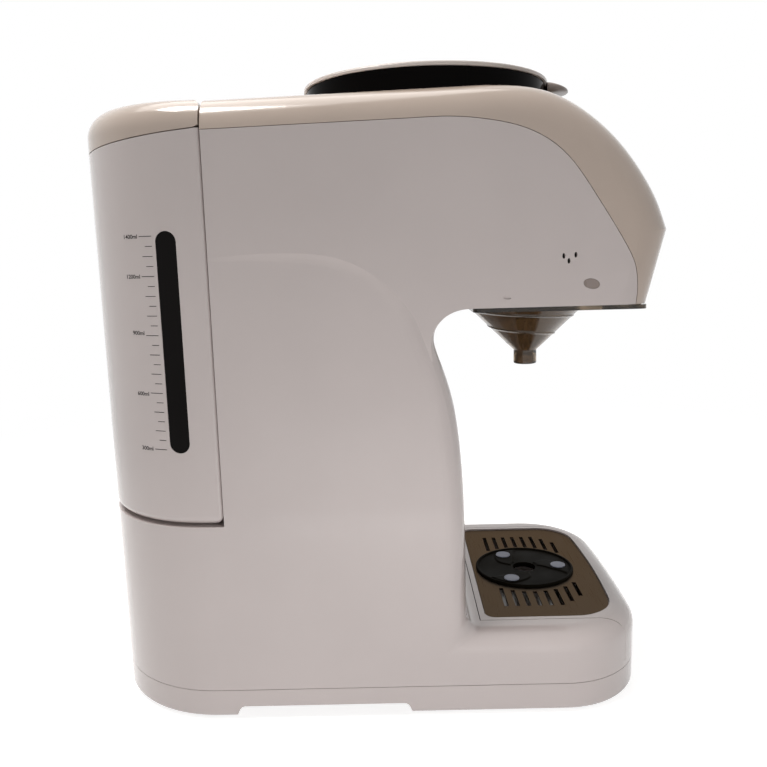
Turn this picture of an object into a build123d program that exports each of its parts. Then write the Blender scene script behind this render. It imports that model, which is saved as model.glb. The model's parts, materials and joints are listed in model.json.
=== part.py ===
from build123d import *
import math
import os

# Baby formula maker. Millimetres. X runs across, -Y is the front, Z is up from the floor the feet stand on.
# The tank stands behind, the powder canister sits in the top of the head, and the funnel hangs under it.

os.makedirs("parts", exist_ok=True)

# Overall
HALF = 97.0            # half width of the base, column and tank
HEAD_HALF = HALF - 5.5 # half width of the head at its front end
REAR, NOSE = 165.0, -165.0
BASE_FRONT = -161.0
WALL = 2.6             # moulded wall
GAP = 0.5              # parting gap between large mouldings
SPLIT = 18.5           # base cover meets the body shell here
BASE_TOP = 50.0
COLUMN_Y = -51.5       # front of the column
HEAD_Z = 238.0         # underside of the head
TANK_Y = 85.5          # the tank stands behind this line
LEDGE = 118.6          # the tank stands on this ledge
R_REAR, R_FRONT = 70.0, 50.0
BAND = 18.0            # rounding of the top cover's side edges
COLUMN_R, BASE_R = 12.0, 12.0

# Tank
TANK_Z0, TANK_Z1 = 120.0, 336.0
LID_TOP = 352.0
LID_SLOPE = 0.1        # the tank's rim falls this much per mm towards the rear
HINGE_Y, HINGE_Z = 92.0, 346.2
WIN_Y, WIN_Z0, WIN_Z1, WIN_W = 107.6, 161.7, 283.7, 11.6
OUT_Y = 125.0          # tank outlet and its socket

# Canister and dosing
CAN_Y, CAN_R, CAN_WALL = -36.5, 74.4, 2.2
CAN_Z0, CAN_Z1 = 296.4, 367.9
BAY_R = 75.3
FRAME_TOP = 292.8
CHUTE_Y = -91.5        # powder drops here
POCKETS, POCKET_R, POCKET_PCD = 10, 8.0, 55.0

# Funnel drawer and drip tray
AXIS_Y = -100.5        # spout and drip disc share this axis
SPOUT_R, SPOUT_Z0, SPOUT_Z1 = 7.5, 194.0, 203.0
DRAWER_REAR, DRAWER_FRONT = -54.3, -153.0
DRAWER_HALF = HEAD_HALF - 3.5
RAIL_HALF = HEAD_HALF - 10.5   # the drawer's rails run in slots of this half width
TRAY_HALF, TRAY_REAR, TRAY_Z0 = HALF - 18.2, -61.0, 22.4
PLATE_Z = 49.0
DISC_R = 33.4

C3 = (Align.CENTER, Align.CENTER, Align.MIN)


def block(x0, x1, y0, y1, z0, z1):
    return Pos((x0 + x1) / 2, (y0 + y1) / 2, z0) * Box(x1 - x0, y1 - y0, z1 - z0, align=C3)


def tube(x, y, z0, z1, r, inner=0.0):
    body = Pos(x, y, z0) * Cylinder(r, z1 - z0, align=C3)
    return body - Pos(x, y, z0) * Cylinder(inner, z1 - z0, align=C3) if inner else body


def cone(x, y, z0, z1, r0, r1):
    return Pos(x, y, z0) * Cone(r0, r1, z1 - z0, align=C3)


def both(part):
    """The part and its mirror image across the middle plane."""
    return part + mirror(part, Plane.YZ)


def up(face, z0, z1):
    return Pos(0, 0, z0) * extrude(face, amount=z1 - z0)


def side(face, half=120.0):
    """A face drawn in Y (first) and Z (second), widened both ways along X."""
    return Pos(-half, 0, 0) * extrude(Plane.YZ * face, amount=2 * half)


def outline(front, rear, half, r_front, r_rear, bow=0.0):
    """Seen from above: rounded corners, and a front edge that bows out by bow."""
    with BuildSketch() as s:
        with BuildLine():
            Polyline((half, front + bow), (half, rear), (-half, rear), (-half, front + bow))
            if bow:
                ThreePointArc((-half, front + bow), (0, front), (half, front + bow))
            else:
                Line((-half, front), (half, front))
        make_face()
        if r_rear:
            fillet(s.vertices().group_by(Axis.Y)[-1], r_rear)
        if r_front:
            fillet(s.vertices().sort_by(Axis.Y).group_by(Axis.Y)[0], r_front)
    return s.sketch


def base_plan(d=0.0):
    return outline(BASE_FRONT + d, REAR - d, HALF - d, R_FRONT - d, R_REAR - d, 4.5)


def tank_plan(d=0.0, front=TANK_Y + GAP, corner=2.0):
    return outline(front + d, REAR - d, HALF - d, corner, R_REAR - d)


def head_plan(d=0.0):
    """The head narrows towards the front."""
    with BuildSketch() as s:
        with BuildLine():
            Polyline((HALF - d, TANK_Y + 5), (HEAD_HALF - d, -170), (-HEAD_HALF + d, -170),
                     (-HALF + d, TANK_Y + 5), close=True)
        make_face()
    return s.sketch


def moved(pts, d):
    """Points of an open curve moved by d to its left-hand side."""
    out = []
    for i, (y, z) in enumerate(pts):
        (y0, z0), (y1, z1) = pts[max(i - 1, 0)], pts[min(i + 1, len(pts) - 1)]
        n = math.hypot(y1 - y0, z1 - z0)
        out.append((y - d * (z1 - z0) / n, z + d * (y1 - y0) / n))
    return out


# Curves in Y and Z
COLUMN_EDGE = [(-51.5, 75), (-51.2, 120), (-48.7, 163), (-43.8, 192), (-36.5, 214), (-34.8, 223),
               (-38.5, 231.5), (-47, 236.8), (-58, HEAD_Z)]
ARCH = [(-36.5, 214), (-27.1, 238), (-16.6, 251.5), (-3.5, 263.5), (12.2, 271.8), (35.9, 276.8),
        (60, 278.4), (TANK_Y, 278.6)]
BROW = [(-62, 356.5), (-104.3, 350.3), (-125.7, 336.8), (-144.5, 317.2), (-157.3, 297.3), (NOSE, 278)]
SEAM = [(-40, 338.3), (-65, 336.3), (-88.4, 330), (-102.7, 321), (-121.4, 297.5), (-138.5, 270.5),
        (-144.4, 257), (-145.6, 247), (-145.2, HEAD_Z - 2)]


def lower_face(d=0.0):
    """Side view of the thick lower body: base behind the tray, column and tank ledge."""
    with BuildSketch() as s:
        with BuildLine():
            edge = moved(COLUMN_EDGE[:5], -d)
            a = Line((COLUMN_Y + d, SPLIT - d), edge[0])
            b = Spline(*edge, tangents=((0, 1), (0.38, 1)))
            arch = [b @ 1] + moved(ARCH, -d)[1:-1] + [(TANK_Y - d, 278.6 - d)]
            c = Spline(*arch, tangents=((0.38, 1), (1, 0)))
            Polyline(c @ 1, (TANK_Y - d, LEDGE - d), (REAR + 1, LEDGE - d), (REAR + 1, SPLIT - d), a @ 0)
        make_face()
    return s.sketch


def head_face(d=0.0, top=0.0):
    """Side view of the head with the neck that runs down into the column."""
    with BuildSketch() as s:
        with BuildLine():
            brow = moved(BROW, top)
            rear = Polyline((TANK_Y - d, 150), (TANK_Y - d, 352 - top), brow[0])
            b = Spline(*brow, tangents=((-1, 0), (-0.33, -0.94)))
            edge = moved(COLUMN_EDGE[2:], -d)
            low = Polyline(b @ 1, (-154.6 + 1.05 * top, edge[-1][1]), edge[-1])
            e = Spline(*edge[::-1], tangents=((1, 0), (-0.1, -1)))
            Polyline(e @ 1, (e @ 1 + (0, -10)), rear @ 0)
        make_face()
    return s.sketch


def under_seam(d=0.0):
    """Side view of what lies under the parting line of the top cover."""
    with BuildSketch() as s:
        with BuildLine():
            pts = moved(SEAM, d)
            rear = Polyline((TANK_Y + 9, 140), (TANK_Y + 9, 334.4 - d), pts[0])
            b = Spline(*pts, tangents=((-1, 0.0), (0.05, -1)))
            Polyline(b @ 1, (pts[-1][0], 140), rear @ 0)
        make_face()
    return s.sketch


def sloped(z_front):
    """Everything under a plane that falls towards the rear, z_front high at the tank's front."""
    with BuildSketch() as s:
        with BuildLine():
            Polyline((TANK_Y - 5, 0), (TANK_Y - 5, z_front + 5 * LID_SLOPE),
                     (REAR + 5, z_front - (REAR + 5 - TANK_Y) * LID_SLOPE), (REAR + 5, 0), close=True)
        make_face()
    return side(s.sketch)


def hose(pts, r, inner, bend):
    line = FilletPolyline(*pts, radius=bend)
    at = Plane(origin=line @ 0, z_dir=line % 0)
    return sweep(at * Circle(r), path=line) - sweep(at * Circle(inner), path=line)


def head_solid(d=0.0):
    """The head and its neck, moved in by d."""
    part = side(head_face(d, d)) & up(head_plan(d), 100, 400)
    sides = [e for e in part.edges() if abs(e.center().X) > 85 and e.center().Z > HEAD_Z + d + 1
             and e.center().Y < TANK_Y - d - 1]
    return fillet(sides, BAND - d)


def column_solid(d=0.0):
    """Column, rear base and arch, moved in by d. One rounding runs up the front corners and over the arch."""
    part = side(lower_face(d)) & up(base_plan(d), SPLIT - d, 300)
    corners = [e for e in part.edges() if abs(e.center().X) > HALF - d - 1 and e.center().Y < 60
               and e.center().Z > 40]
    return fillet(corners, COLUMN_R - d)


def corner_trim(d=0.0):
    """What the column's rounded front corners leave free. The rounding runs out in the head's neck."""
    edge = moved(COLUMN_EDGE, -d)
    line = Spline(*edge[2:], tangents=((0.1, 1), (-1, 0)))
    t0, t1 = (line.param_at_point(Vector(*p)) for p in (edge[4], edge[6]))
    t0 -= 0.05
    low = block(-120, 120, -75, edge[4][0] + COLUMN_R + 2, 120, (line @ t0).Y) - column_solid(d)
    sections = []
    for k in range(5):
        r, at = COLUMN_R - 0.6 - d - 2.05 * k, line @ (t0 + (t1 - t0) * k / 4)
        x = HALF - d
        with BuildSketch(Plane.XY.offset(at.Y)) as s:
            with BuildLine():
                Polyline((x, at.X + r), (x + 3, at.X + r), (x + 3, at.X - 3), (x - r, at.X - 3),
                         (x - r, at.X))
                RadiusArc((x - r, at.X), (x, at.X + r), -r)
            make_face()
        sections.append(s.sketch.face())
    return low + both(loft(sections))


def base_solid(z0, d=0.0):
    """The front of the base from z0 up, moved in by d, with its rounded top edge."""
    part = up(base_plan(d), z0, BASE_TOP - d) & block(-110, 110, -170, -30, 0, 60)
    rim = [e for e in part.edges() if abs(e.center().Z - BASE_TOP + d) < 0.1 and e.center().Y < -31]
    return fillet(rim, BASE_R - d)


# Body shell: base, column and the sides of the head
side_view = head_face()
head = head_solid() & side(fillet([v for v in side_view.vertices() if v.X < NOSE + 1], 4.0))
head -= corner_trim()
shell = column_solid() + base_solid(SPLIT) + (head & side(under_seam()))
foot_edge = [e for e in shell.edges() if abs(e.center().Z - BASE_TOP) < 0.1
             and abs(e.center().Y - COLUMN_Y) < 0.1 and e.length > 100]
shell = fillet(foot_edge, 9.0)
head_hollow = head_solid(WALL) - corner_trim(WALL)
pod = base_solid(SPLIT - 1, WALL) & both(block(TRAY_HALF + 3.1, 100, -170, -40, 0, 60))
shell -= column_solid(WALL) + head_hollow
shell -= pod
floor_plate = up(base_plan(1.0), SPLIT, TRAY_Z0 - 0.1)
floor_plate &= block(-TRAY_HALF - 5.2, TRAY_HALF + 5.2, -170, TRAY_REAR + 3.2, 0, 60)
tray_wall = block(-HALF, HALF, TRAY_REAR + 0.5, TRAY_REAR + 3.2, SPLIT, BASE_TOP - 3) & base_solid(SPLIT, 1.0)
shell = shell + floor_plate + tray_wall
recess = block(-TRAY_HALF - 0.5, TRAY_HALF + 0.5, -175, TRAY_REAR + 0.5, TRAY_Z0 - 0.1, BASE_TOP + 10)
shell -= recess
slot_half, rail_half = RAIL_HALF - 2.7, RAIL_HALF + 0.6
shell -= block(-slot_half, slot_half, -175, -54.0, HEAD_Z - 5, 246)
shell -= block(-rail_half, rail_half, -175, -54.0, HEAD_Z + 2.2, 243.7)
pad = up(tank_plan(7.0, TANK_Y - 2), LEDGE, TANK_Z0 - 0.1)
shell = shell + pad
shell -= tube(0, OUT_Y, LEDGE - 10, TANK_Z0 + 5, 11.6)
BOSSES = [(s * (HALF - 7.8), y) for s in (-1, 1) for y in (-30.0, 100.0)]
for x, y in BOSSES:
    shell += tube(x, y, SPLIT, 58, 5.5)
    shell -= tube(x, y, SPLIT - 1, 50, 1.6)
HOLES = [(-105.1, 265.0), (-111.6, 265.4), (-107.9, 262.3)]
for y, z in HOLES:
    shell -= Pos(-100, y, z) * Rot(0, 90, 0) * extrude(Ellipse(1.5, 0.8), amount=30)


def side_oval(y, z, a, b, depth0, depth1):
    """An upright oval in the head's -X wall, between two depths from its outside."""
    oval = extrude(Plane.YZ * Pos(y, z) * Rot(0, 0, 12) * Ellipse(a, b), amount=-110)
    return oval & (up(head_plan(depth0), 200, 300) - up(head_plan(depth1), 200, 300))


side_plug = side_oval(-120.4, 249.8, 4.4, 2.7, 0.15, 1.6)
shell -= side_oval(-120.4, 249.8, 4.5, 2.8, -2.0, 1.7)
shell -= side_oval(-74.5, 243.6, 2.2, 1.0, -2.0, 0.8)
shell -= block(-13.2, 13.2, REAR - 10, REAR + 5, 50.8, 69.2)

# Top cover
cover = head - side(under_seam(-0.3))
cover -= head_hollow
cover -= tube(0, CAN_Y, 300, 400, 75.0)
cover -= block(-rail_half, rail_half, -175, -130, HEAD_Z - 5, 243.7)
face_at = Plane(origin=(0, -146.6, 315.2), x_dir=(1, 0, 0), z_dir=(0, -0.812, 0.584))
PANEL_W, PANEL_H = 112.0, 38.0
cover -= face_at * Pos(0, 0, -6) * extrude(RectangleRounded(PANEL_W + 0.6, PANEL_H + 0.6, 6.3), amount=20)

# Canister bay: the well the canister stands in, on a frame plate across the head
bay = tube(0, CAN_Y, FRAME_TOP, 353.6, BAY_R + 2.2, BAY_R)
bay += tube(0, CAN_Y, FRAME_TOP, CAN_Z0 - 0.1, BAY_R + 2.2)
bay -= tube(0, CAN_Y, 290, 300, 9.8) + tube(0, CHUTE_Y, 290, 300, 10.5)
bay &= head_solid(WALL + 0.3)
frame = up(head_plan(WALL), 290, FRAME_TOP) & block(-110, 110, -112, 40, 280, 300)
frame = fillet(frame.edges().filter_by(Axis.Z), 8)
frame += tube(0, CHUTE_Y, 244.6, FRAME_TOP, 11.6)
frame -= tube(0, CAN_Y, 280, 300, 10.5) + tube(0, CHUTE_Y, 240, 300, 9.6)

# Gear motor under the bay and the dog it turns
motor = tube(0, CAN_Y, 252, 276, 15.5) + tube(0, CAN_Y, 276, 290, 20)
motor += both(block(20, 27, CAN_Y - 5, CAN_Y + 5, 286.6, 290) + block(14, 21, CAN_Y - 5, CAN_Y + 5, 283, 290))
motor -= tube(0, CAN_Y, 284, 292, 4.3)
dog = tube(0, CAN_Y, 284.4, 297.4, 4.0)
dog += block(-8, 8, CAN_Y - 2.5, CAN_Y + 2.5, 297.4, 305.6)
dog += block(-2.5, 2.5, CAN_Y - 8, CAN_Y + 8, 297.4, 305.6)

# Canister
bowl = tube(0, CAN_Y, CAN_Z0, CAN_Z1, CAN_R, CAN_R - CAN_WALL) + tube(0, CAN_Y, 309.2, 311.6, CAN_R - 1, 12.5)
window = (tube(0, CAN_Y, 305, 315, 66, 44) & block(-80, 80, CAN_Y - 22, CAN_Y + 80, 300, 320))
window -= block(-80, 80, CAN_Y - 4, CAN_Y + 4, 300, 320) + block(-4, 4, CAN_Y - 80, CAN_Y + 80, 300, 320)
bowl -= window
can_base = tube(0, CAN_Y, CAN_Z0, 299.6, CAN_R - CAN_WALL - 0.1)
can_base -= tube(0, CAN_Y, 290, 302, 9.7) + tube(0, CHUTE_Y, 290, 302, 9.2)
wheel = tube(0, CAN_Y, 299.9, 308.8, CAN_R - CAN_WALL - 0.5) + tube(0, CAN_Y, 299.9, 316.0, 12.2)
for i in range(POCKETS):
    a = math.radians(-90 + 360 * i / POCKETS)
    x, y = POCKET_PCD * math.cos(a), CAN_Y + POCKET_PCD * math.sin(a)
    wheel -= tube(x, y, 299, 310, POCKET_R)
wheel -= block(-8.3, 8.3, CAN_Y - 2.8, CAN_Y + 2.8, 299, 306.2)
wheel -= block(-2.8, 2.8, CAN_Y - 8.3, CAN_Y + 8.3, 299, 306.2)
stirrer = tube(0, CAN_Y, 316.0, 323, 12.2) + cone(0, CAN_Y, 323, 331, 12.2, 5)
for s in (-1, 1):
    arm = Pos(s * 35, CAN_Y, 318.6) * Rot(0, 90, 0) * Cylinder(2.4, 50)
    stirrer += arm + tube(s * 62, CAN_Y, 316.2, 350, 2.2)
    stirrer += tube(s * 36, CAN_Y, 318.6, 336, 2.0)
lid = tube(0, CAN_Y, 368.0, 370.4, 75.8) + tube(0, CAN_Y, 362.4, 368.0, 71.6, 69.4)
lid = fillet(lid.edges().filter_by(GeomType.CIRCLE).group_by(Axis.Z)[-1], 1.2)
lid_seal = tube(0, CAN_Y, 364.0, 366.0, 72.1, 71.7)
with BuildSketch() as tongue:
    with BuildLine():
        Polyline((-111.4, 369.6), (-113.4, 370.2), (-126.0, 366.4), (-126.4, 365.2), (-120, 363.2),
                 (-112.8, 362.6), (-111.4, 363.2), close=True)
    make_face()
lid_tab = side(tongue.sketch, 17.0) - tube(0, CAN_Y, 360, 372, 75.9)
lid_tab += block(-12, 12, -111.6, -108.4, 364.2, 367.9) - tube(0, CAN_Y, 360, 372, 74.8)

# Water tank
tank_block = up(tank_plan(), TANK_Z0, TANK_Z1) & sloped(TANK_Z1)
tank_block = fillet([e for e in tank_block.edges().filter_by(Axis.X) if e.center().Z < TANK_Z0 + 1
                     and e.center().Y < TANK_Y + 2], 5.0)
tank = tank_block - (up(tank_plan(WALL), TANK_Z0 + WALL, TANK_Z1 + 20))


def pill(dx):
    r = WIN_W / 2 + dx
    slot = SlotOverall(WIN_Z1 - WIN_Z0 + 2 * dx, 2 * r, rotation=90)
    bar = extrude(Plane.YZ * Pos(WIN_Y, (WIN_Z0 + WIN_Z1) / 2) * slot, amount=-120)
    return bar & block(-120, -80, 90, 130, 100, 320)


tank -= pill(0.0)
skin = up(tank_plan(0.35), 130, 320) - up(tank_plan(4.6), 130, 320)
flange = up(tank_plan(WALL + 0.05), 130, 320) - up(tank_plan(4.6), 130, 320)
level_window = (pill(-0.15) & skin) + (pill(2.5) & flange)
tank -= tube(0, OUT_Y, 110, 130, 11.0)
ears = both(block(70, 74, TANK_Y + GAP + 2.4, HINGE_Y + 4.4, 318, HINGE_Z - 8.2))
ears += both(block(70, 74, HINGE_Y + 1.2, HINGE_Y + 4.4, HINGE_Z - 9, HINGE_Z + 1))
ears += both(Pos(72, HINGE_Y, HINGE_Z) * Rot(0, 90, 0) * Cylinder(3.0, 4.0))
ears -= Pos(0, HINGE_Y, HINGE_Z) * Rot(0, 90, 0) * Cylinder(1.46, 200)
tank += ears
hinge_pin = Pos(0, HINGE_Y, HINGE_Z) * Rot(0, 90, 0) * Cylinder(1.4, 155.2)

outlet = tube(0, OUT_Y, 108, TANK_Z0 + WALL, 10.9) + tube(0, OUT_Y, TANK_Z0 + WALL, 124.6, 15)
outlet -= tube(0, OUT_Y, 111, 126, 8.5) + tube(0, OUT_Y, 107, 112, 4.5)
poppet = tube(0, OUT_Y, 111.1, 113.1, 7.4) + tube(0, OUT_Y, 106.5, 111.1, 2.4)
poppet += tube(0, OUT_Y, 113.1, 118, 2.0)
valve_cap = tube(0, OUT_Y, 121.2, 123.4, 8.45, 2.6)
for i in range(4):
    a = math.radians(45 + 90 * i)
    valve_cap -= tube(5.6 * math.cos(a), OUT_Y + 5.6 * math.sin(a), 120, 125, 1.7)
coil = Helix(pitch=1.8, height=7.2, radius=3.9)
at = Plane(origin=coil @ 0, z_dir=coil % 0)
valve_spring = Pos(0, OUT_Y, 113.5) * sweep(at * Circle(0.38), path=coil, is_frenet=True)

socket = tube(0, OUT_Y, 98, LEDGE - WALL, 17, 11.4) + tube(0, OUT_Y, 98, 100.4, 17, 3.4)
socket += tube(0, OUT_Y, 84, 98, 5.2, 3.4)
socket -= tube(0, OUT_Y, 110.6, 113.4, 13.7)
socket += block(-4, 4, OUT_Y - 1, OUT_Y + 1, 98, 100.4) + tube(0, OUT_Y, 98, 106.3, 1.6)
socket_seal = Pos(0, OUT_Y, 112.0) * Torus(12.35, 1.3)

# Tank lid


def lid_solid(d):
    """The tank lid's outside, moved in by d."""
    part = up(tank_plan(d, TANK_Y + GAP + 0.2, 0), 300, LID_TOP - d)
    rim = [e for e in part.edges() if abs(e.center().Z - LID_TOP + d) < 0.1 and e.center().Y > HINGE_Y]
    part = fillet(rim, 15.0 - d)
    corner = block(-110, 110, TANK_Y - 5, HINGE_Y, HINGE_Z, LID_TOP + 5)
    corner -= Pos(0, HINGE_Y, HINGE_Z) * Rot(0, 90, 0) * Cylinder(HINGE_Y - TANK_Y - GAP - 0.2 - d, 240)
    return part - corner


tank_lid = lid_solid(0.0) - sloped(TANK_Z1 + 0.5)
tank_lid -= lid_solid(2.2)
tank_lid -= both(block(60, 84, TANK_Y - 1, HINGE_Y + 2, 330, 345.5))
swing = Pos(0, HINGE_Y, HINGE_Z) * Rot(0, 90, 0) * Cylinder(10.4, 240)
tank_lid -= block(-110, 110, TANK_Y - 1, HINGE_Y - 3, 330, 342) - swing
for x0, x1 in ((66.4, 69.7), (74.3, 77.6)):
    tank_lid += both(block(x0, x1, HINGE_Y - 2.4, HINGE_Y + 2.4, HINGE_Z - 2.4, LID_TOP - 1.2))
tank_lid -= Pos(0, HINGE_Y, HINGE_Z) * Rot(0, 90, 0) * Cylinder(1.4, 155.4)

# Funnel drawer
carrier = block(-DRAWER_HALF, DRAWER_HALF, DRAWER_FRONT, DRAWER_REAR - 2.9, 235.2, 237.6)
carrier = fillet(carrier.edges().filter_by(Axis.Z), 5)
carrier += block(-RAIL_HALF + 3.2, RAIL_HALF - 3.2, DRAWER_FRONT + 1, DRAWER_REAR, 237.6, 240.6)
carrier += block(-RAIL_HALF, RAIL_HALF, DRAWER_FRONT + 1, DRAWER_REAR, 240.6, 243.1)
carrier -= block(-60, 60, DRAWER_FRONT + 6, DRAWER_REAR - 2, 239.4, 245)
carrier += tube(0, AXIS_Y, 235.2, 243.1, 46.2)
carrier -= tube(0, AXIS_Y, 230, 236.7, 42.6) + tube(0, AXIS_Y, 236.6, 250, 44.2)
carrier &= block(-HALF, HALF, DRAWER_FRONT, DRAWER_REAR, 235, 243.1)
funnel = cone(0, AXIS_Y, SPOUT_Z1, 236.7, SPOUT_R, 42.3) + tube(0, AXIS_Y, SPOUT_Z0, SPOUT_Z1, SPOUT_R)
funnel -= cone(0, AXIS_Y, SPOUT_Z1, 236.8, SPOUT_R - 1.9, 42.3 - 1.9)
funnel -= tube(0, AXIS_Y, SPOUT_Z0 - 1, SPOUT_Z1, SPOUT_R - 1.9)
funnel += tube(0, AXIS_Y, 236.7, 238.2, 43.9, 40.4)
guide = block(RAIL_HALF + 1, DRAWER_HALF + 0.2, -140, -60, HEAD_Z + WALL, 248.5)
guide += block(RAIL_HALF - 3.5, RAIL_HALF + 1, -140, -60, 243.4, 248.5)
guides = [mirror(guide, Plane.YZ), guide]

# Drip tray, plate and disc
tray = base_solid(TRAY_Z0) & block(-TRAY_HALF, TRAY_HALF, -175, TRAY_REAR, 0, 60)
inner = outline(BASE_FRONT + 2.4, TRAY_REAR - 2.2, TRAY_HALF - 2.2, 34, 4, 4.5)
tray -= up(inner, TRAY_Z0 + 2.2, BASE_TOP - 4.8)


def plate_plan(d=0.0):
    return outline(-146.5 - d, -65.0 + d, 75.1 + d, 25.0 + d, 6.0 + d, 4.0)


tray -= up(plate_plan(0.6), PLATE_Z - 1.4, BASE_TOP + 5) + up(plate_plan(-3.0), 40, BASE_TOP + 5)
plate = up(plate_plan(), PLATE_Z - 1.2, PLATE_Z)
SLOT_N, SLOT_STEP, SLOT_U0, SLOT_W = 8, 7.04, 20.8, 2.7
OUTER = [59, 59, 59, 59, 59, 59, 53.7, 46.4]
for i in range(SLOT_N):
    y = AXIS_Y + SLOT_U0 - SLOT_STEP * i
    near = math.sqrt((DISC_R + 5) ** 2 - (y - AXIS_Y) ** 2)
    plate -= both(block(near, OUTER[i], y - SLOT_W / 2, y + SLOT_W / 2, 40, 60))
plate -= tube(0, AXIS_Y, 40, 60, 30.0)
disc = tube(0, AXIS_Y, PLATE_Z, PLATE_Z + 2.0, DISC_R) + tube(0, AXIS_Y, PLATE_Z - 2.5, PLATE_Z, 29.8)
disc -= tube(0, AXIS_Y, PLATE_Z + 1.0, PLATE_Z + 3, DISC_R - 1.6) + tube(0, AXIS_Y, 40, 60, 7.8)
disc -= tube(0, AXIS_Y, 40, PLATE_Z - 1.2, 27.8, 10)
pads = []
for i in range(3):
    a = math.radians(-90 + 120 * i)
    x, y = 23.5 * math.cos(a), AXIS_Y + 23.5 * math.sin(a)
    disc += tube(x, y, PLATE_Z + 0.9, PLATE_Z + 1.6, 6.4)
    disc -= tube(x, y, PLATE_Z + 0.6, PLATE_Z + 3, 5.1)
    pads.append(tube(x, y, PLATE_Z + 0.6, PLATE_Z + 2.1, 5.0))

# Base cover, feet and screws
bottom = up(base_plan(), 1.5, SPLIT - 0.3)
bottom = fillet([e for e in bottom.edges() if abs(e.center().Z - 1.5) < 0.1], 3.0)
bottom -= up(base_plan(WALL), 4.0, 30) - block(-110, 110, -22.3, 88.3, 0, 10.4)
with BuildSketch() as arch_cut:
    with BuildLine():
        Polyline((-19.5, 0), (-16.5, 8), (82.0, 8), (85.5, 0), close=True)
    make_face()
    fillet(arch_cut.vertices().group_by(Axis.Y)[-1], 4)
bottom -= side(arch_cut.sketch)
FEET = [(s * 70, y) for s in (-1, 1) for y in (-118.0, 125.0)]
feet = [tube(x, y, 0, 2.5, 9.0) for x, y in FEET]
for x, y in FEET:
    bottom -= tube(x, y, 0, 2.5, 9.1)
screws = []
for x, y in BOSSES:
    bottom += tube(x, y, 4.0, SPLIT - 0.3, 6.0)
    bottom -= tube(x, y, 0, 12, 3.6) + tube(x, y, 0, 30, 1.8)
    screws.append(tube(x, y, 9.4, 12, 3.2) + tube(x, y, 12, 34, 1.5)
                  - block(x - 2.4, x + 2.4, y - 0.5, y + 0.5, 9, 10.4)
                  - block(x - 0.5, x + 0.5, y - 2.4, y + 2.4, 9, 10.4))

# Control panel, flush with the brow and held by a flange behind the cover's skin
def prism(w, h, r):
    return face_at * Pos(0, 0, -14) * extrude(RectangleRounded(w, h, r), amount=30)


behind = head_solid(2.4)
flange_back = head_solid(WALL + 1.6)
panel = (head & prism(PANEL_W, PANEL_H, 6.0)) - flange_back
panel += (head_solid(WALL + 0.1) & prism(PANEL_W + 6, PANEL_H + 6, 8.0)) - flange_back
panel -= behind & prism(PANEL_W - 8, PANEL_H - 8, 3.0)
KEY_OUT, KEY_IN = PANEL_W / 2 - 14, PANEL_W / 2 - 32
KEYS = [-KEY_OUT, -KEY_IN, KEY_IN, KEY_OUT]
for x in KEYS:
    panel -= face_at * Pos(x, 0, -14) * extrude(Circle(6.0), amount=30)
panel -= prism(30.4, 20.4, 2.2)
display = (head_solid(0.15) & prism(30.0, 20.0, 2.0)) - behind
keys = [face_at * Pos(x, 0, -5.6) * extrude(Circle(5.8), amount=6.3)
        + face_at * Pos(x, 0, -5.6) * extrude(Circle(7.2), amount=2.2) for x in KEYS]
board = face_at * Pos(0, 0, -12.6) * extrude(Rectangle(PANEL_W - 8, 28), amount=1.6)
for x in (7 - PANEL_W / 2, PANEL_W / 2 - 7):
    for y in (-12.0, 12.0):
        board += (face_at * Pos(x, y, -11.0) * extrude(Circle(1.9), amount=14)) & behind
for x in KEYS:
    board += face_at * Pos(x, 0, -11.0) * extrude(Rectangle(6, 6), amount=4.5)
board += (face_at * Pos(0, 0, -11.0) * extrude(Rectangle(28, 18), amount=14)) & head_solid(2.5)

# Works in the column
chassis = block(-78, 78, 76.0, 79.0, 24, 228)
for x in (-66, 66):
    for z in (40, 210):
        chassis += Pos(x, 80.9, z) * Rot(90, 0, 0) * Cylinder(4, 4.0)
chassis -= Pos(61, 78, 46) * Rot(90, 0, 0) * Cylinder(5.5, 10)
heater = tube(-40, 52, 110, 200, 18) + tube(-40, 52, 100, 110, 5.2, 3.4) + tube(-40, 52, 200, 210, 5.2, 3.4)
heater += block(-44, -36, 68, 76, 124, 134) + block(-44, -36, 68, 76, 176, 186)
pump = Pos(30, 54, 74) * Rot(0, 90, 0) * Cylinder(14, 40) + block(48, 74, 38, 70, 58, 90)
pump += block(16, 30, 66, 76, 68, 80) + tube(61, 54, 90, 100, 5.2, 3.4)
pump += Pos(61, 34, 74) * Rot(90, 0, 0) * (Cylinder(5.2, 10) - Cylinder(3.4, 10))
power_board = block(6, 70, 60, 61.6, 116, 212)
for x in (12, 64):
    for z in (122, 206):
        power_board += Pos(x, 68.8, z) * Rot(90, 0, 0) * Cylinder(2.5, 14.4)
power_board += block(14, 34, 40, 60, 130, 160) + block(40, 62, 46, 60, 126, 150)
power_board += tube(54, 52.5, 168, 200, 8.0)
inlet_hose = hose([(0, OUT_Y, 90), (0, OUT_Y, 46), (61, 100, 46), (61, 20, 46), (61, 20, 74), (61, 36, 74)],
                  3.3, 2.2, 9)
feed_hose = hose([(61, 54, 96), (61, 54, 106), (61, 24, 106), (-40, 24, 90), (-40, 52, 90), (-40, 52, 106)],
                 3.3, 2.2, 6)
hot_hose = hose([(-40, 52, 204), (-40, 52, 232), (-40, 0, 262), (-40, -118, 262), (0, -118, 262),
                 (0, -118, 254)], 3.3, 2.2, 7)
nozzle = tube(0, -118, 244.6, 254, 6.4) + block(-8, 20, -126, -113, 252, 254.6) - tube(0, -118, 240, 260, 3.5)
nozzle += block(16, 20, -126, -113, 252, 270) + block(16, 20, -126, -104, 270, 290)
buzzer = Pos(3.4 - DRAWER_HALF, -108.2, 264.2) * Rot(0, 90, 0) * Cylinder(9, 6)
buzzer += block(-DRAWER_HALF - 0.6, 6.4 - DRAWER_HALF, -112, -104, 272, 290)
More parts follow.
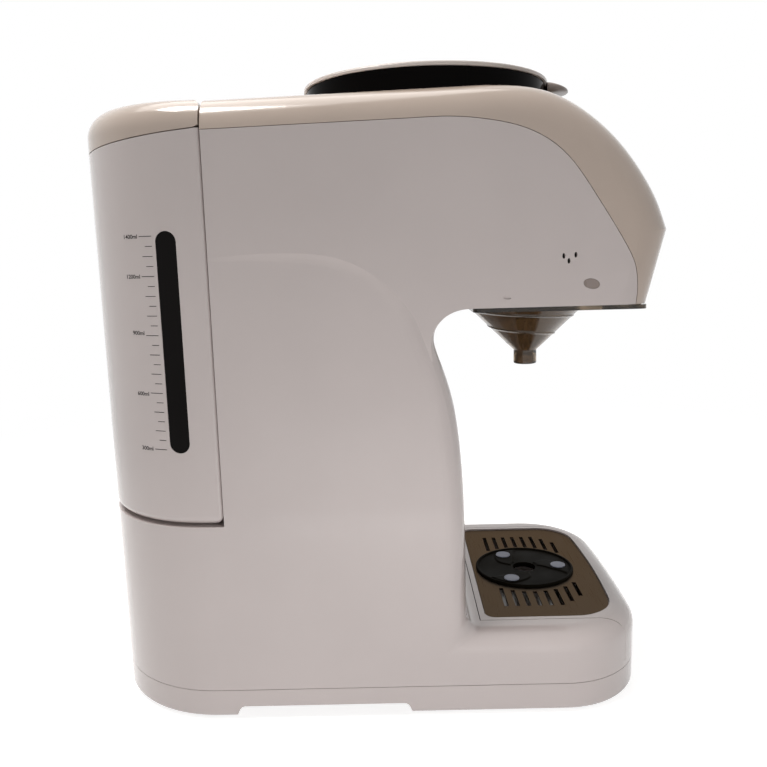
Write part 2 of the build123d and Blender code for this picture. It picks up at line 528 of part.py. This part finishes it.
inlet_socket = block(-13, 13, REAR - 16, REAR - 0.3, 51, 69) + block(-16, 16, REAR - 6.5, REAR - 2.7, 48, 72)
inlet_socket -= block(-10.5, 10.5, REAR - 12, REAR + 2, 54.5, 65.5)
for x in (-4.5, 4.5):
    inlet_socket += Pos(x, REAR - 8, 60) * Rot(90, 0, 0) * Cylinder(1.2, 9)

NODES = {
    "body_shell": shell, "top_cover": cover, "base_cover": bottom,
    "canister_bay": bay, "head_frame": frame, "side_plug": side_plug,
    "gear_motor": motor, "drive_dog": dog,
    "canister_bowl": bowl, "canister_base": can_base, "dosing_wheel": wheel, "stirrer": stirrer,
    "canister_lid": lid, "lid_seal": lid_seal, "lid_tab": lid_tab,
    "water_tank": tank, "level_window": level_window, "tank_outlet": outlet, "valve_poppet": poppet,
    "valve_spring": valve_spring, "valve_cap": valve_cap, "tank_lid": tank_lid,
    "hinge_pin": hinge_pin, "tank_socket": socket, "socket_seal": socket_seal,
    "funnel_drawer": carrier, "funnel": funnel, "guide_left": guides[0], "guide_right": guides[1],
    "drip_tray": tray, "drip_plate": plate, "drip_disc": disc,
    "control_panel": panel, "display_window": display, "control_board": board,
    "chassis": chassis, "heater": heater, "pump": pump, "power_board": power_board,
    "inlet_hose": inlet_hose, "feed_hose": feed_hose, "hot_hose": hot_hose, "water_nozzle": nozzle,
    "buzzer": buzzer, "power_inlet": inlet_socket,
}
NODES.update({f"disc_pad_{i + 1}": p for i, p in enumerate(pads)})
NODES.update({f"key_{i + 1}": k for i, k in enumerate(keys)})
NODES.update({f"foot_{i + 1}": f for i, f in enumerate(feet)})
NODES.update({f"base_screw_{i + 1}": s for i, s in enumerate(screws)})
for name, shape in NODES.items():
    export_step(shape, f"parts/{name}.step")
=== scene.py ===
import json
import math

import bmesh
import bpy
from mathutils import Matrix, Vector


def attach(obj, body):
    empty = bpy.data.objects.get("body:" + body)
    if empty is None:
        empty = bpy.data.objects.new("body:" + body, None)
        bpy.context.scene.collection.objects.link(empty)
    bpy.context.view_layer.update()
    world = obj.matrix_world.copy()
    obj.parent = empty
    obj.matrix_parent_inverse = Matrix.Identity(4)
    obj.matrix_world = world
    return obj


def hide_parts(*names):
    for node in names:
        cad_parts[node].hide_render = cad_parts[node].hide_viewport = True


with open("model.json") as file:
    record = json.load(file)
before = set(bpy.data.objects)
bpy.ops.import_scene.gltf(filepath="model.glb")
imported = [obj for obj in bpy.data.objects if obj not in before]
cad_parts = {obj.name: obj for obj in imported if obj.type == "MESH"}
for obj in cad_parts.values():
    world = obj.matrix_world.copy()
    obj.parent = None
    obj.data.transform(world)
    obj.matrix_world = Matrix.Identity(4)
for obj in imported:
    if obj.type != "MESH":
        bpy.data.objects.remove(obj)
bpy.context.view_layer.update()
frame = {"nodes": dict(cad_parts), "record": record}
nodes = frame["nodes"]
MM = 0.001


# ---------------------------------------------------------------- materials
def colour(r, g, b):
    """A display colour, 0 to 255, as scene-linear RGBA."""
    def linear(c):
        c /= 255
        return c / 12.92 if c <= 0.04045 else ((c + 0.055) / 1.055) ** 2.4
    return (linear(r), linear(g), linear(b), 1.0)


class Mat:
    """A procedural material built on one Principled shader."""

    def __init__(self, name, rgb, rough, **sockets):
        self.mat = bpy.data.materials.new(name)
        self.mat.use_nodes = True
        self.tree = self.mat.node_tree
        self.bsdf = self.tree.nodes["Principled BSDF"]
        self.set("Base Color", colour(*rgb))
        self.set("Roughness", rough)
        for key, value in sockets.items():
            self.set(key.replace("_", " "), value)
        self.coords = self.node("ShaderNodeTexCoord").outputs["Object"]
        self.normal = None

    def set(self, socket, value):
        self.bsdf.inputs[socket].default_value = value

    def node(self, kind, **props):
        n = self.tree.nodes.new(kind)
        for key, value in props.items():
            setattr(n, key, value)
        return n

    def link(self, a, b):
        self.tree.links.new(a, b)

    def scaled(self, scale):
        """Object coordinates stretched along each axis."""
        m = self.node("ShaderNodeMapping")
        m.inputs["Scale"].default_value = scale
        self.link(self.coords, m.inputs["Vector"])
        return m.outputs["Vector"]

    def noise(self, scale, detail=4.0, stretch=(1, 1, 1)):
        n = self.node("ShaderNodeTexNoise")
        n.inputs["Scale"].default_value = scale
        n.inputs["Detail"].default_value = detail
        self.link(self.scaled(stretch), n.inputs["Vector"])
        return n.outputs["Fac"]

    def tint(self, source, dark, light, low=0.3, high=0.7):
        """Colour runs from dark to light as the source goes from low to high."""
        ramp = self.node("ShaderNodeValToRGB")
        ramp.color_ramp.elements[0].position = low
        ramp.color_ramp.elements[1].position = high
        ramp.color_ramp.elements[0].color = colour(*dark)
        ramp.color_ramp.elements[1].color = colour(*light)
        self.link(source, ramp.inputs["Fac"])
        self.link(ramp.outputs["Color"], self.bsdf.inputs["Base Color"])
        return self

    def gloss(self, source, low, high):
        """Roughness runs from low to high with the source."""
        r = self.node("ShaderNodeMapRange")
        r.inputs["From Min"].default_value = 0.3
        r.inputs["From Max"].default_value = 0.7
        r.inputs["To Min"].default_value = low
        r.inputs["To Max"].default_value = high
        self.link(source, r.inputs["Value"])
        self.link(r.outputs["Result"], self.bsdf.inputs["Roughness"])
        return self

    def bump(self, source, strength, depth):
        b = self.node("ShaderNodeBump")
        b.inputs["Strength"].default_value = strength
        b.inputs["Distance"].default_value = depth
        self.link(source, b.inputs["Height"])
        if self.normal:
            self.link(self.normal, b.inputs["Normal"])
        self.normal = b.outputs["Normal"]
        self.link(self.normal, self.bsdf.inputs["Normal"])
        return self


def plastic(name, rgb, rough, spread=5, peel=0.05, **sockets):
    """Moulded plastic: slight shade variation, uneven gloss and a faint orange peel."""
    m = Mat(name, rgb, rough, **sockets)
    dark = tuple(max(c - spread, 0) for c in rgb)
    light = tuple(min(c + spread, 255) for c in rgb)
    m.tint(m.noise(9.0, 3.0), dark, light)
    m.gloss(m.noise(34.0, 5.0), rough * 0.8, rough * 1.25)
    m.bump(m.noise(260.0, 2.0), peel, 0.0002)
    m.bump(m.noise(2600.0, 1.0), peel, 0.00003)
    return m


def smoked(name, rgb, rough, transmission, specular):
    """Smoked clear plastic, its gloss slightly uneven."""
    m = Mat(name, rgb, rough, Transmission_Weight=transmission, IOR=1.49, Specular_IOR_Level=specular)
    m.gloss(m.noise(40.0, 4.0), rough * 0.7, rough * 1.6)
    m.bump(m.noise(180.0, 2.0), 0.08, 0.0002)
    return m


def brushed(name, rgb, light, rough, along, **sockets):
    """Brushed metal, its lines along one axis."""
    m = Mat(name, rgb, rough, Metallic=1.0, **sockets)
    stretch = [3000.0, 3000.0, 3000.0]
    stretch[along] = 30.0
    lines = m.noise(1.0, 6.0, stretch)
    m.tint(lines, rgb, light)
    m.gloss(m.noise(1.0, 3.0, stretch), rough * 0.7, rough * 1.4)
    m.bump(lines, 0.12, 0.00004)
    return m


WHITE = plastic("white_gloss", (208, 199, 197), 0.15, 3, 0.04, Coat_Weight=0.35, Coat_Roughness=0.08)
GREIGE = plastic("greige_gloss", (196, 180, 167), 0.16, 4, 0.04, Coat_Weight=0.4, Coat_Roughness=0.07)
TAUPE = plastic("taupe_satin", (148, 136, 130), 0.28, 5, 0.06)
LID = plastic("lid_satin", (216, 208, 202), 0.24, 4, 0.05)
GREY = plastic("grey_moulding", (128, 126, 126), 0.5, 7, 0.2)
PALE = plastic("pale_moulding", (222, 220, 214), 0.38, 4, 0.12)
BLACK = plastic("panel_black", (13, 13, 15), 0.09, 3, 0.02, Coat_Weight=0.5, Coat_Roughness=0.04)
DARK = plastic("dark_moulding", (30, 30, 32), 0.5, 6, 0.25)
KEY = plastic("key_satin", (206, 204, 204), 0.3, 3, 0.08)
RUBBER = plastic("foot_rubber", (38, 37, 37), 0.75, 7, 0.5)
SILICONE = plastic("silicone", (196, 194, 188), 0.5, 5, 0.15)
PAD = plastic("pad_silicone", (150, 156, 172), 0.5, 6, 0.2)
CIRCUIT = plastic("circuit", (24, 74, 44), 0.45, 9, 0.3)
WINDOW = plastic("dark_window", (9, 5, 4), 0.12, 3, 0.02, Specular_IOR_Level=0.08)
DISC = plastic("disc_olive", (19, 16, 10), 0.5, 3, 0.06, Specular_IOR_Level=0.02)
INK = plastic("scale_ink", (14, 12, 13), 0.6, 2, 0.05, Specular_IOR_Level=0.1)
SMOKED = smoked("smoked_clear", (112, 97, 79), 0.08, 0.95, 0.3)
BOWL = smoked("smoked_dark", (5, 3, 2), 0.06, 0.02, 0.02)
PLATE = brushed("plate_bronze", (76, 68, 60), (96, 86, 76), 0.36, 0, Specular_Tint=colour(188, 176, 166))
METAL = brushed("bright_metal", (176, 176, 180), (204, 204, 208), 0.26, 2)
HEAT = brushed("heater_metal", (186, 186, 190), (212, 212, 216), 0.36, 2)

SLOT_MATERIAL = {
    "white_shell": WHITE, "greige": GREIGE, "taupe": TAUPE, "lid_grey": LID, "grey_moulding": GREY,
    "smoked": SMOKED, "dark_window": WINDOW, "pale_moulding": PALE, "motor_metal": METAL,
    "silicone": SILICONE, "spring_steel": METAL, "panel_black": BLACK, "circuit": CIRCUIT,
    "heater_metal": HEAT, "pump_body": DARK, "plate_steel": PLATE, "disc_black": DISC,
    "pad_silicone": PAD, "key_white": KEY, "foot_rubber": RUBBER,
}


def dress(obj, material):
    """Gives the object this one material."""
    obj.data.materials.clear()
    obj.data.materials.append(material.mat)


slot_of = {s["node"]: s["material_slot"] for s in frame["record"]["subparts"]}
for name, obj in nodes.items():
    dress(obj, BOWL if name == "canister_bowl" else SLOT_MATERIAL[slot_of[name]])


# ---------------------------------------------------------------- tank scale
TANK_R, TANK_CX, TANK_CY = 69.9, 27.0, 95.0   # plan of the tank's rounded rear corner, mm
SKIN = 0.1               # from the plan's arc out to the middle of the ink
INK_LIFT = 0.05          # half the ink's thickness


def tank_x(y):
    """How far out the tank's side lies at this Y, in mm."""
    if y <= TANK_CY:
        return TANK_CX + TANK_R
    return TANK_CX + math.sqrt(TANK_R ** 2 - (y - TANK_CY) ** 2)


def on_tank(bm, name):
    """Lays a flat drawing (u to the front, v up, w outwards, all in mm) round the tank's side."""
    for v in bm.verts:
        u, z, w = v.co
        v.co = Vector((-(tank_x(-u) + SKIN + INK_LIFT * (1 if w > 0 else -1)), -u, z)) * MM
    bmesh.ops.recalc_face_normals(bm, faces=bm.faces)
    mesh = bpy.data.meshes.new(name)
    bm.to_mesh(mesh)
    bm.free()
    obj = bpy.data.objects.new(name, mesh)
    bpy.context.scene.collection.objects.link(obj)
    dress(obj, INK)
    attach(obj, "tank")
    return obj


# Marks every 50 ml: a numbered one is longest, one on a full 100 ml is longer than the rest
MARK_TOP, MARK_STEP, MARK_COUNT = 281.2, 5.345, 23
TOP_VOLUME, VOLUME_STEP = 1400, 50
MARK_FRONT, NUMBERED_REAR, HUNDRED_REAR, FIFTY_REAR = 115.5, 123.0, 121.6, 119.7
MARK_WIDTH, MARK_SPANS = 0.34, 6
LABELS = {1400: 281.2, 1200: 259.8, 900: 229.0, 600: 195.0, 300: 163.6}
LABEL_SIZE, LABEL_REAR, LABEL_DROP = 3.1, 124.0, 1.0
MERGE = 1e-4


def mark_rear(volume):
    if volume in LABELS:
        return NUMBERED_REAR
    return HUNDRED_REAR if volume % 100 == 0 else FIFTY_REAR


ticks = bmesh.new()
for i in range(MARK_COUNT):
    volume = TOP_VOLUME - VOLUME_STEP * i
    z = MARK_TOP - MARK_STEP * i
    length = mark_rear(volume) - MARK_FRONT
    for k in range(MARK_SPANS):
        y0 = MARK_FRONT + length * k / MARK_SPANS
        y1 = MARK_FRONT + length * (k + 1) / MARK_SPANS
        bmesh.ops.create_cube(ticks, size=1.0, matrix=Matrix.Translation((-(y0 + y1) / 2, z, 0))
                              @ Matrix.Diagonal((y1 - y0, MARK_WIDTH, 1.0, 1.0)))
bmesh.ops.remove_doubles(ticks, verts=ticks.verts, dist=MERGE)
on_tank(ticks, "scale_marks")

for volume, z in LABELS.items():
    font = bpy.data.curves.new("label", "FONT")
    font.body = f"{volume}ml"
    font.size = LABEL_SIZE
    font.extrude = 0.5
    font.offset = 0.045
    font.align_x = "RIGHT"
    text = bpy.data.objects.new("label", font)
    bpy.context.scene.collection.objects.link(text)
    bpy.context.view_layer.update()
    mesh = bpy.data.meshes.new_from_object(text)
    bpy.data.objects.remove(text)
    bm = bmesh.new()
    bm.from_mesh(mesh)
    bmesh.ops.remove_doubles(bm, verts=bm.verts, dist=MERGE)
    for v in bm.verts:
        v.co.x -= LABEL_REAR
        v.co.y += z - LABEL_DROP
    on_tank(bm, f"label_{volume}")


# ---------------------------------------------------------------- modelled pieces
AXIS_Y = -100.5          # spout and drip disc share this axis, mm


def smooth(t):
    """A soft step from 0 to 1."""
    t = min(max(t, 0.0), 1.0)
    return t * t * (3 - 2 * t)


def finish_piece(bm, name, material, body, slot, *replaced, crease=38):
    """Turns mesh data in mm into a shaded piece that rides on a body."""
    bmesh.ops.recalc_face_normals(bm, faces=bm.faces)
    for f in bm.faces:
        f.smooth = True
    for e in bm.edges:
        e.smooth = len(e.link_faces) == 2 and e.calc_face_angle(0) < math.radians(crease)
    for v in bm.verts:
        v.co *= MM
    mesh = bpy.data.meshes.new(name)
    bm.to_mesh(mesh)
    bm.free()
    obj = bpy.data.objects.new(name, mesh)
    bpy.context.scene.collection.objects.link(obj)
    dress(obj, material)
    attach(obj, body)
    if replaced:
        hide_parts(*replaced)
    return obj


def revolve(rings, count, radius_at):
    """A closed surface of revolution about the spout's axis. radius_at gives a ring's radius and height at
    an angle."""
    bm = bmesh.new()
    grid = []
    for ring in rings:
        row = []
        for k in range(count):
            a = 2 * math.pi * k / count
            r, z = radius_at(ring, a)
            row.append(bm.verts.new((r * math.cos(a), AXIS_Y + r * math.sin(a), z)))
        grid.append(row)
    for i in range(len(grid)):
        lower, upper = grid[i], grid[(i + 1) % len(grid)]
        for k in range(count):
            n = (k + 1) % count
            bm.faces.new((lower[k], lower[n], upper[n], upper[k]))
    return bm


# Funnel: smoked cone with one spiral ridge, an open spout and a flange
SPOUT_Z, SPOUT_R, BORE_R, LIP = 194.0, 7.5, 5.6, 0.4
CONE_Z0, CONE_Z1, CONE_R, CONE_RISE = 203.0, 236.6, 42.3, 33.7
MOUTH_Z, MOUTH_R = 236.8, 40.3
FLANGE_Z0, FLANGE_Z1, FLANGE_R, FLANGE_BORE = 236.7, 238.2, 43.9, 40.4
RIB_PITCH, RIB_TOP, RIB_END, RIB_TURNS, RIB_HEIGHT, RIB_HALF = 11.5, 230.5, 206.0, 4, 0.75, 1.1
SPOUT_STEPS, CONE_STEPS, MOUTH_STEPS, FUNNEL_SIDES = 6, 110, 16, 160


def cone_radius(z):
    return SPOUT_R + (CONE_R - SPOUT_R) * (z - CONE_Z0) / CONE_RISE


def rib(z, a):
    """Height of the spiral ridge: it falls as it goes from the rear over the near side to the front."""
    turn = ((a - math.pi / 2) % (2 * math.pi)) / (2 * math.pi)
    best = 0.0
    for k in range(RIB_TURNS):
        centre = RIB_TOP - RIB_PITCH * (turn + k)
        fade = smooth((centre - RIB_END) / 4) * smooth((RIB_TOP - centre) / 1.5)
        best = max(best, fade * smooth(1 - abs(z - centre) / RIB_HALF))
    return RIB_HEIGHT * best


def run(start, end, steps):
    """Rings from start to end, both (z, radius), without the first."""
    (z0, r0), (z1, r1) = start, end
    return [(z0 + (z1 - z0) * i / steps, r0 + (r1 - r0) * i / steps) for i in range(1, steps + 1)]


lip_z = SPOUT_Z + LIP
outer = [(SPOUT_Z, SPOUT_R - LIP), (lip_z, SPOUT_R)]
outer += run((lip_z, SPOUT_R), (CONE_Z0, SPOUT_R), SPOUT_STEPS)[:-1]
outer += [(CONE_Z0 + (CONE_Z1 - CONE_Z0) * i / CONE_STEPS, None) for i in range(CONE_STEPS + 1)]
outer += [(FLANGE_Z0, FLANGE_R), (FLANGE_Z1, FLANGE_R), (FLANGE_Z1, FLANGE_BORE), (MOUTH_Z, MOUTH_R)]
inner = run((MOUTH_Z, MOUTH_R), (CONE_Z0, BORE_R), MOUTH_STEPS)
inner += [(lip_z, BORE_R), (SPOUT_Z, BORE_R + LIP)]


def funnel_point(ring, a):
    """A ring with no radius of its own lies on the ridged cone."""
    z, r = ring
    return (r, z) if r is not None else (cone_radius(z) + rib(z, a), z)


funnel = revolve(outer + inner, FUNNEL_SIDES, funnel_point)
finish_piece(funnel, "funnel_ribbed", SMOKED, "mixing_drawer", "smoked", "funnel", crease=50)

# Drip disc: raised rim, centre hole, and a twisted lobe round each of the three pads
PLATE_Z, DISC_R, HOLE_R, PAD_R = 49.0, 33.4, 7.8, 23.5
RIM_WIDTH, FLOOR_Z, UNDER_Z, SKIRT_Z = 1.8, PLATE_Z + 0.9, PLATE_Z - 1.2, PLATE_Z - 2.5
SKIRT_R0, SKIRT_R1, HUB_R = 27.8, 29.8, 10.0
LOBES, LOBE_HEIGHT, LOBE_TWIST = 3, 0.65, 0.030
LOBE_R0, LOBE_R1, LOBE_EDGE = 8.6, 31.0, 1.5
NARROW_HALF, SPREAD, SPREAD_R0, SPREAD_RUN, LOBE_SLOPE = 3.0, 5.2, 8.5, 12, 0.9
DISC_STEPS, DISC_SIDES = 56, 240


def lobe(r, a):
    """How far a lobe stands up here: it twists about the pad and narrows towards the centre hole."""
    best = 0.0
    for k in range(LOBES):
        middle = math.radians(-90 + 360 / LOBES * k) - LOBE_TWIST * (r - PAD_R)
        off = (a - middle + math.pi) % (2 * math.pi) - math.pi
        half = NARROW_HALF + SPREAD * smooth((r - SPREAD_R0) / SPREAD_RUN)
        best = max(best, smooth((half - abs(off) * r) / LOBE_SLOPE + 0.5))
    return best * smooth((LOBE_R1 - r) / LOBE_EDGE) * smooth((r - LOBE_R0) / LOBE_EDGE)


# Rings are (radius, height), and a ring with no height lies on the lobed face
face = [(HOLE_R + (DISC_R - RIM_WIDTH - HOLE_R) * i / DISC_STEPS, None) for i in range(DISC_STEPS + 1)]
rim = [(DISC_R - 1.6, PLATE_Z + 1.5), (DISC_R - 1.4, PLATE_Z + 1.9), (DISC_R - 1.0, PLATE_Z + 2.0),
       (DISC_R - 0.3, PLATE_Z + 1.8), (DISC_R, PLATE_Z + 1.4), (DISC_R, PLATE_Z + 0.05)]
under = [(SKIRT_R1, PLATE_Z + 0.02), (SKIRT_R1, SKIRT_Z), (SKIRT_R0, SKIRT_Z), (SKIRT_R0, UNDER_Z),
         (HUB_R, UNDER_Z), (HUB_R, SKIRT_Z), (HOLE_R, SKIRT_Z)]


def disc_point(ring, a):
    r, z = ring
    return (r, z) if z is not None else (r, FLOOR_Z + LOBE_HEIGHT * lobe(r, a))


disc = revolve(face + rim + under, DISC_SIDES, disc_point)
finish_piece(disc, "disc_lobed", DISC, "grille", "disc_black", "drip_disc", crease=40)

# Tongue of the canister lid: rounded in plan, thin at its tip
CANISTER_Y, ROOT_R = -36.5, 76.0
TONGUE_HALF, TONGUE_REACH, TIP_SHARE = 17.0, 13.6, 0.975
TONGUE_TOP, TONGUE_LOW, TOP_FALL, LOW_RISE = 369.9, 362.8, 3.9, 1.9
TONGUE_STEPS, TONGUE_SIDES = 12, 28
tongue, loops = bmesh.new(), []


def squared(value, power):
    """Widens a sine or cosine, so that the loop is a rounded bar instead of an ellipse."""
    return math.copysign(abs(value) ** power, value)


for i in range(TONGUE_STEPS + 1):
    t = i / TONGUE_STEPS
    half = TONGUE_HALF * math.sqrt(1 - (TIP_SHARE * t) ** 3)
    top_z, low_z = TONGUE_TOP - TOP_FALL * t ** 1.4, TONGUE_LOW + LOW_RISE * t ** 1.2
    loop = []
    for k in range(TONGUE_SIDES):
        a = 2 * math.pi * k / TONGUE_SIDES
        x = half * squared(math.cos(a), 0.35)
        y = CANISTER_Y - math.sqrt(ROOT_R ** 2 - x * x) - TONGUE_REACH * t
        z = (top_z + low_z) / 2 + (top_z - low_z) / 2 * squared(math.sin(a), 0.6)
        loop.append(tongue.verts.new((x, y, z)))
    loops.append(loop)
for back, front in zip(loops, loops[1:]):
    for k in range(TONGUE_SIDES):
        n = (k + 1) % TONGUE_SIDES
        tongue.faces.new((back[k], back[n], front[n], front[k]))
tongue.faces.new(loops[0])
tongue.faces.new(loops[-1])
finish_piece(tongue, "tongue_rounded", TAUPE, "canister_cover", "taupe", "lid_tab", crease=60)

# ---------------------------------------------------------------- stage
FLOOR_LIFT = 0.8                 # how much of white the floor shows by itself near the object
WHITE_FROM, WHITE_TO = 0.32, 0.9  # between these distances the floor runs into plain white, m
FLOOR_HALF, FLOOR_DROP = 30.0, 0.0002


def plane(name, size, material, z):
    bm = bmesh.new()
    bmesh.ops.create_grid(bm, x_segments=2, y_segments=2, size=size)
    mesh = bpy.data.meshes.new(name)
    bm.to_mesh(mesh)
    bm.free()
    obj = bpy.data.objects.new(name, mesh)
    bpy.context.scene.collection.objects.link(obj)
    obj.location.z = z
    mesh.materials.append(material)
    return obj


def seen_rays(tree):
    """1 for camera, glossy and transmission rays, so that gloss and clear plastic show the background too."""
    path = tree.nodes.new("ShaderNodeLightPath")
    total = path.outputs["Is Camera Ray"]
    for other in ("Is Glossy Ray", "Is Transmission Ray"):
        add = tree.nodes.new("ShaderNodeMath")
        add.use_clamp = True
        tree.links.new(total, add.inputs[0])
        tree.links.new(path.outputs[other], add.inputs[1])
        total = add.outputs[0]
    return total


def times(tree, a, b):
    """a times b, where b is an output or a plain number."""
    m = tree.nodes.new("ShaderNodeMath")
    m.operation = "MULTIPLY"
    tree.links.new(a, m.inputs[0])
    if isinstance(b, float):
        m.inputs[1].default_value = b
    else:
        tree.links.new(b, m.inputs[1])
    return m.outputs[0]


# White floor: it lights the object as plain matt white, keeps its shadow, and runs into the white far away
floor_mat = bpy.data.materials.new("floor_pale")
floor_mat.use_nodes = True
ft = floor_mat.node_tree
floor_bsdf = ft.nodes["Principled BSDF"]
floor_bsdf.inputs["Base Color"].default_value = (0.62, 0.62, 0.62, 1)
floor_bsdf.inputs["Roughness"].default_value = 0.85
floor_bsdf.inputs["Specular IOR Level"].default_value = 0.0
floor_bsdf.inputs["Emission Color"].default_value = (1, 1, 1, 1)
shown = seen_rays(ft)
ft.links.new(times(ft, shown, FLOOR_LIFT), floor_bsdf.inputs["Emission Strength"])
where = ft.nodes.new("ShaderNodeTexCoord")
reach = ft.nodes.new("ShaderNodeVectorMath")
reach.operation = "LENGTH"
ft.links.new(where.outputs["Object"], reach.inputs[0])
far = ft.nodes.new("ShaderNodeMapRange")
far.interpolation_type = "SMOOTHSTEP"
far.inputs["From Min"].default_value = WHITE_FROM
far.inputs["From Max"].default_value = WHITE_TO
ft.links.new(reach.outputs["Value"], far.inputs["Value"])
white = ft.nodes.new("ShaderNodeEmission")
white.inputs["Color"].default_value = (1, 1, 1, 1)
blend = ft.nodes.new("ShaderNodeMixShader")
ft.links.new(times(ft, shown, far.outputs["Result"]), blend.inputs["Fac"])
ft.links.new(floor_bsdf.outputs["BSDF"], blend.inputs[1])
ft.links.new(white.outputs["Emission"], blend.inputs[2])
ft.links.new(blend.outputs["Shader"], ft.nodes["Material Output"].inputs["Surface"])
floor = plane("floor", FLOOR_HALF, floor_mat, -FLOOR_DROP)

world = bpy.data.worlds.new("studio")
bpy.context.scene.world = world
world.use_nodes = True
wt = world.node_tree
coords = wt.nodes.new("ShaderNodeTexCoord")
axes = wt.nodes.new("ShaderNodeSeparateXYZ")
sky = wt.nodes.new("ShaderNodeValToRGB")
sky.color_ramp.elements[0].position = 0.0
sky.color_ramp.elements[0].color = (0.045, 0.04, 0.037, 1)
sky.color_ramp.elements[1].position = 0.9
sky.color_ramp.elements[1].color = (0.24, 0.23, 0.222, 1)
wt.links.new(coords.outputs["Generated"], axes.inputs["Vector"])
wt.links.new(axes.outputs["Z"], sky.inputs["Fac"])
mix = wt.nodes.new("ShaderNodeMixShader")
lit, seen = wt.nodes["Background"], wt.nodes.new("ShaderNodeBackground")
seen.inputs["Color"].default_value = (1, 1, 1, 1)
wt.links.new(sky.outputs["Color"], lit.inputs["Color"])
wt.links.new(seen_rays(wt), mix.inputs["Fac"])
wt.links.new(lit.outputs["Background"], mix.inputs[1])
wt.links.new(seen.outputs["Background"], mix.inputs[2])
wt.links.new(mix.outputs["Shader"], wt.nodes["World Output"].inputs["Surface"])


def area(name, place, aim, size, power, tone=(1.0, 0.96, 0.93), mirrored=True):
    """A rectangular lamp that the camera doesn't see, places and sizes in metres, power in watts."""
    data = bpy.data.lights.new(name, "AREA")
    data.shape = "RECTANGLE"
    data.size, data.size_y = size
    data.energy = power
    data.color = tone
    lamp = bpy.data.objects.new(name, data)
    bpy.context.scene.collection.objects.link(lamp)
    lamp.location = place
    lamp.rotation_euler = (Vector(aim) - Vector(place)).to_track_quat("-Z", "Y").to_euler()
    lamp.visible_camera = False
    lamp.visible_glossy = mirrored


WHOLE, SQUARE_METRE, COOLER = (0, 0, 0.15), (1.0, 1.0), (1.0, 0.98, 0.98)
area("overhead", (0.2, 0.3, 1.5), (0, 0, 0.1), SQUARE_METRE, 7.5)
# Small and steep: it draws the lit edge over the column's arch
area("arch_light", (-0.2, 0.34, 1.2), (0, 0.05, 0.25), (0.3, 0.3), 5.6)
# Low and close: the near side is brighter towards its foot
area("base_glow", (-0.46, -0.07, 0.06), (0, -0.05, 0.04), (0.4, 0.08), 0.6, COOLER, mirrored=False)
# Plain fill for the sides that the camera doesn't see
area("front_fill", (-0.5, -1.6, 0.7), (0, 0, 0.2), SQUARE_METRE, 2.2, mirrored=False)
area("far_fill", (1.3, -0.3, 0.5), WHOLE, SQUARE_METRE, 4.5, mirrored=False)
area("rear_fill", (0.3, 1.6, 0.6), WHOLE, SQUARE_METRE, 3.5, mirrored=False)

# ---------------------------------------------------------------- camera
EYE = (-0.51937, -0.01065, 0.27078)
LENS, SENSOR, CLIP_START = 36.79, 36.0, 0.02
camera_data = bpy.data.cameras.new("camera")
camera_data.sensor_width = SENSOR
camera_data.lens = LENS
camera_data.clip_start = CLIP_START
camera = bpy.data.objects.new("camera", camera_data)
bpy.context.scene.collection.objects.link(camera)
right = Vector((0.005136, -0.999645, -0.026148))
upward = Vector((0.168333, -0.024911, 0.985415))
forward = Vector((0.985717, 0.009462, -0.168145))
turn = Matrix((right, upward, -forward)).transposed().to_4x4()
camera.matrix_world = Matrix.Translation(EYE) @ turn
bpy.context.scene.camera = camera
bpy.context.scene.view_settings.view_transform = "Standard"
